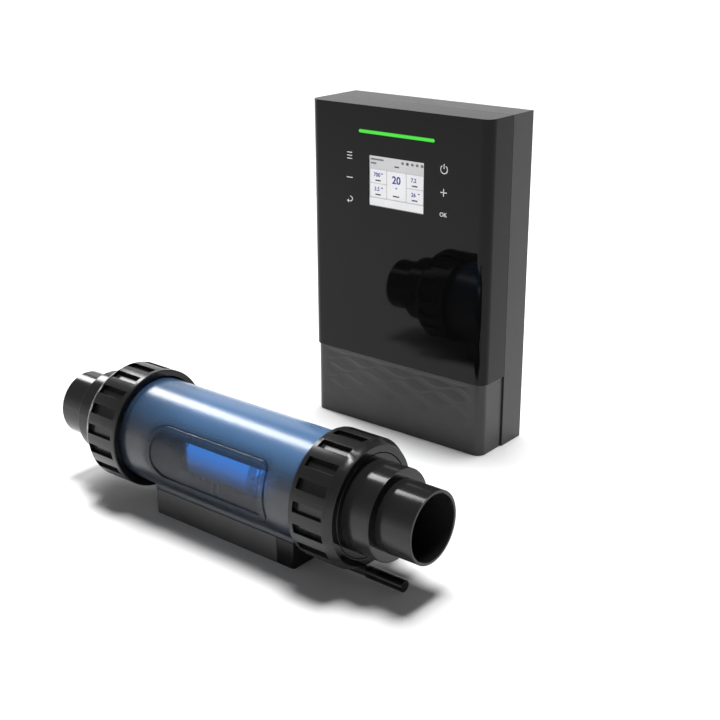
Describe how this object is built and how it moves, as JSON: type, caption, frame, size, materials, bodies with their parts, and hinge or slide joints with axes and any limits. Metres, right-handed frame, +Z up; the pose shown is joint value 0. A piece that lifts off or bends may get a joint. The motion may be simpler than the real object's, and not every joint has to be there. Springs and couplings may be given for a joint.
{
  "type": "salt chlorine generator",
  "caption": "Wall controller with glossy cover, display and status light, and a clear flow-through electrolytic cell with union nuts, pipe stubs and a short lead.",
  "frame": {"origin": "middle of the footprint of controller and cell together, on the surface that they stand on", "axes": "+X along the cell's flow axis towards the end with the lead, +Y from the cell towards the controller's back, +Z up"},
  "size_m": [0.4226, 0.3883, 0.3445],
  "materials": {
    "gloss_black": "mirror-glossy black moulded plastic",
    "satin_black": "fine satin moulding",
    "textured_black": "satin with shallow woven wave lines",
    "clear_window": "clear polished",
    "screen": "lit display",
    "green_light": "glowing green light guide",
    "circuit_board": "solder mask",
    "touch_foam": "conductive foam",
    "winding": "enamelled copper winding",
    "capacitor_can": "sleeved can",
    "blue_plastic": "moulded",
    "aluminium": "extruded",
    "steel": "zinc-plated",
    "rubber": "matte rubber",
    "tinted_clear": "clear, blue-tinted, slightly frosted",
    "titanium": "coated titanium, blue",
    "comb_plastic": "translucent moulding"
  },
  "bodies": {
    "generator": {"front_cover": "gloss_black", "rear_case": "satin_black", "case_screw_1": "steel", "case_screw_2": "steel", "case_screw_3": "steel", "case_screw_4": "steel", "cable_gland_1": "satin_black", "cable_gland_2": "satin_black", "cable_gland_3": "satin_black", "case_gasket": "rubber", "display_window": "clear_window", "display_panel": "screen", "status_light_bar": "green_light", "display_board": "circuit_board", "touch_strip_left": "touch_foam", "touch_strip_right": "touch_foam", "power_board": "circuit_board", "toroid_transformer": "winding", "capacitor_1": "capacitor_can", "capacitor_2": "capacitor_can", "relay": "blue_plastic", "fuse_holder": "satin_black", "heat_sink": "aluminium", "terminal_block": "blue_plastic", "cell_housing": "tinted_clear", "cell_base": "satin_black", "base_end_cap": "gloss_black", "base_plate": "satin_black", "base_screw_1": "steel", "base_screw_2": "steel", "electrode_plate_1": "titanium", "electrode_plate_2": "titanium", "electrode_plate_3": "titanium", "electrode_plate_4": "titanium", "electrode_plate_5": "titanium", "electrode_comb_left": "comb_plastic", "terminal_post_left": "titanium", "electrode_comb_right": "comb_plastic", "terminal_post_right": "titanium", "lead_gland": "satin_black", "lead_plug": "gloss_black", "cell_lead": "rubber"},
    "wiring_cover": {"wiring_cover": "textured_black"},
    "left_tail": {"left_union_tail": "gloss_black", "left_o_ring": "rubber"},
    "left_slip": {"left_slip_ring": "rubber"},
    "left_nut": {"left_union_nut": "satin_black"},
    "right_tail": {"right_union_tail": "gloss_black", "right_o_ring": "rubber"},
    "right_slip": {"right_slip_ring": "rubber"},
    "right_nut": {"right_union_nut": "satin_black"}
  },
  "joints": [
    {"name": "wiring_cover_pull", "type": "slide", "parent": "generator", "child": "wiring_cover", "axis": [0, -1, 0], "range_m": [0, 0.08]},
    {"name": "left_tail_pull", "type": "slide", "parent": "generator", "child": "left_tail", "axis": [-1, 0, 0], "range_m": [0, 0.04]},
    {"name": "left_nut_travel", "type": "slide", "parent": "left_tail", "child": "left_slip", "axis": [-1, 0, 0], "range_m": [0, 0.0271]},
    {"name": "left_nut_turn", "type": "hinge", "parent": "left_slip", "child": "left_nut", "pos_m": [-0.1279, -0.1377, 0.07], "axis": [-1, 0, 0], "range_deg": [0, 1620]},
    {"name": "right_tail_pull", "type": "slide", "parent": "generator", "child": "right_tail", "axis": [1, 0, 0], "range_m": [0, 0.04]},
    {"name": "right_nut_travel", "type": "slide", "parent": "right_tail", "child": "right_slip", "axis": [1, 0, 0], "range_m": [0, 0.0271]},
    {"name": "right_nut_turn", "type": "hinge", "parent": "right_slip", "child": "right_nut", "pos_m": [0.1279, -0.1377, 0.07], "axis": [1, 0, 0], "range_deg": [0, 1620]}
  ],
  "couplings": [
    {"joint": "left_nut_travel", "follows": "left_nut_turn", "m_per_rad": 0.00095493},
    {"joint": "right_nut_travel", "follows": "right_nut_turn", "m_per_rad": 0.00095493}
  ]
}
